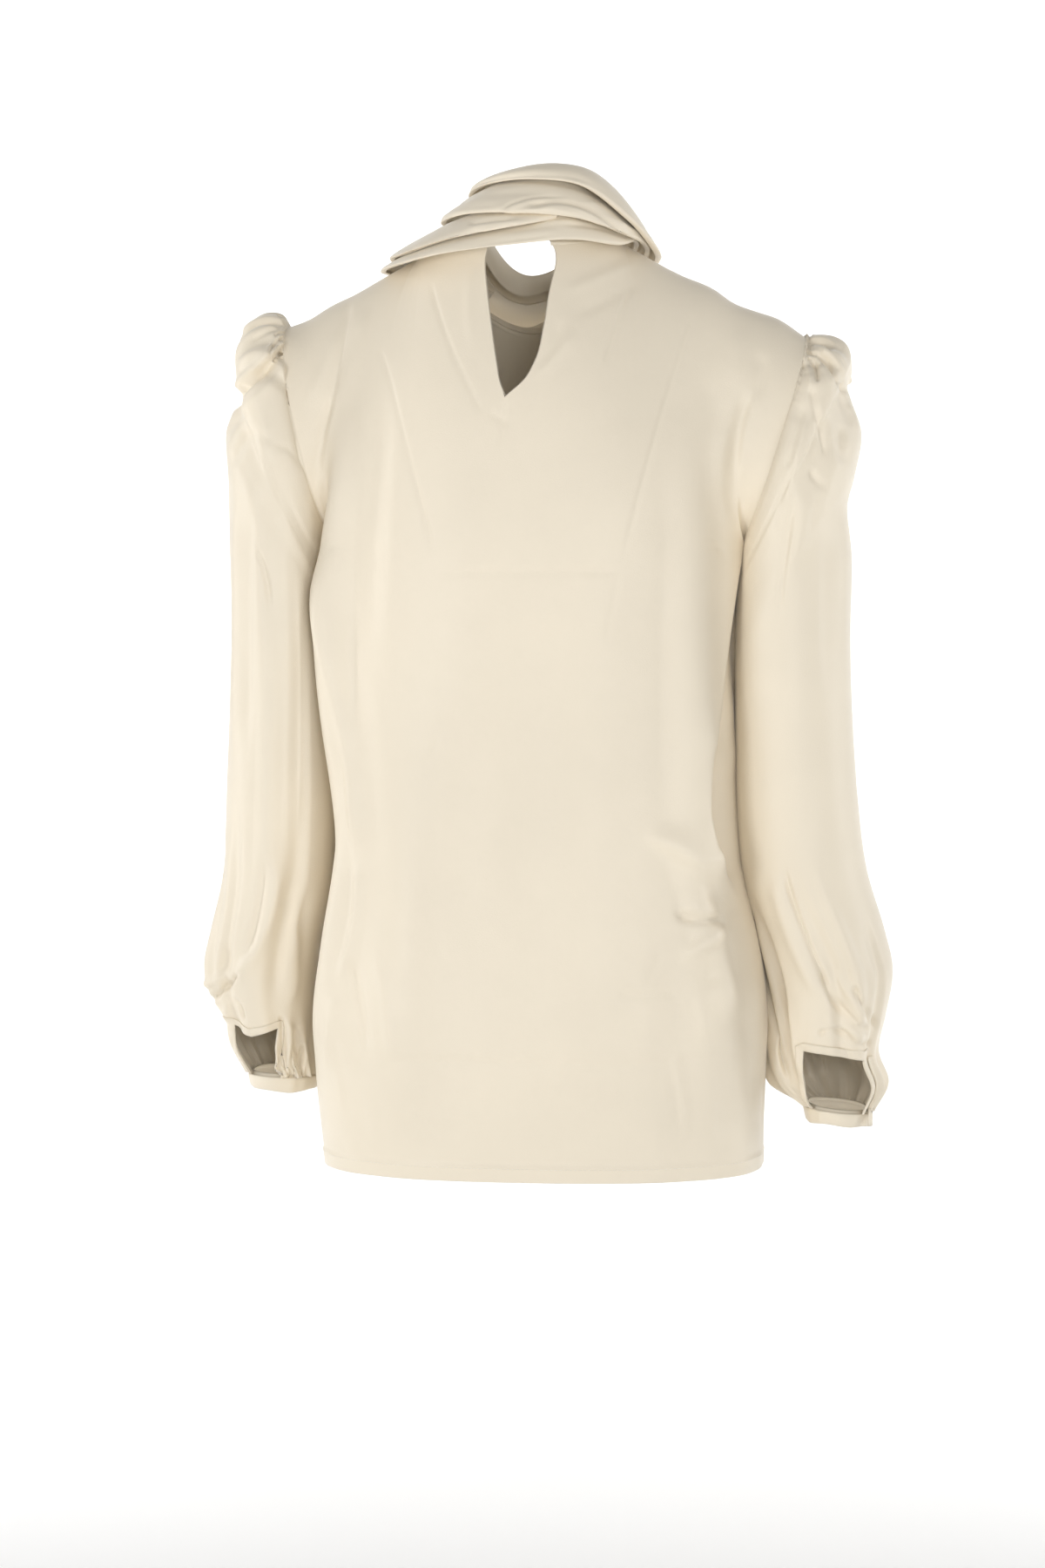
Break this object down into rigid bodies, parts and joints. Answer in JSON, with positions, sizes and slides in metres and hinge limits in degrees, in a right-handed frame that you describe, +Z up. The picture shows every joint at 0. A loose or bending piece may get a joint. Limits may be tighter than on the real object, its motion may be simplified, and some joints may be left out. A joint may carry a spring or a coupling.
{
  "type": "blouse",
  "caption": "Long-sleeved silk crepe blouse with a wound scarf collar, back keyhole, puffed sleeve heads, slit gathered cuffs and a straight hem.",
  "frame": {"origin": "the middle between the shoulders, at the height where the shoulder seams meet the neckline, where the wearer's shoulders hold the blouse up", "axes": "+X toward the wearer's left, +Y out of the blouse's back, +Z up"},
  "size_m": [0.5066, 0.2389, 0.7257],
  "materials": {
    "back_panel_cloth": "soft satin sheen of silk crepe",
    "front_panel_cloth": "soft satin sheen of silk crepe",
    "sleeve_left_back_cloth": "soft satin sheen of silk crepe",
    "sleeve_left_front_cloth": "soft satin sheen of silk crepe",
    "sleeve_right_back_cloth": "soft satin sheen of silk crepe",
    "sleeve_right_front_cloth": "soft satin sheen of silk crepe",
    "cuff_left_cloth": "soft satin sheen of silk crepe",
    "cuff_right_cloth": "soft satin sheen of silk crepe",
    "slit_binding_left_cloth": "soft satin sheen of silk crepe",
    "slit_binding_right_cloth": "soft satin sheen of silk crepe",
    "cuff_tie_cloth": "soft satin sheen of silk crepe",
    "collar_roll_cloth": "soft satin sheen of silk crepe",
    "collar_wrap_cloth": "soft satin sheen of silk crepe",
    "collar_left_cloth": "soft satin sheen of silk crepe",
    "collar_under_cloth": "soft satin sheen of silk crepe"
  },
  "bodies": {
    "root": {"back_panel": "back_panel_cloth", "front_panel": "front_panel_cloth", "sleeve_left_back": "sleeve_left_back_cloth", "sleeve_left_front": "sleeve_left_front_cloth", "sleeve_right_back": "sleeve_right_back_cloth", "sleeve_right_front": "sleeve_right_front_cloth", "cuff_left": "cuff_left_cloth", "cuff_right": "cuff_right_cloth", "slit_binding_left": "slit_binding_left_cloth", "slit_binding_right": "slit_binding_right_cloth", "cuff_tie": "cuff_tie_cloth", "collar_roll": "collar_roll_cloth", "collar_wrap": "collar_wrap_cloth", "collar_left": "collar_left_cloth", "collar_under": "collar_under_cloth"}
  },
  "joints": []
}
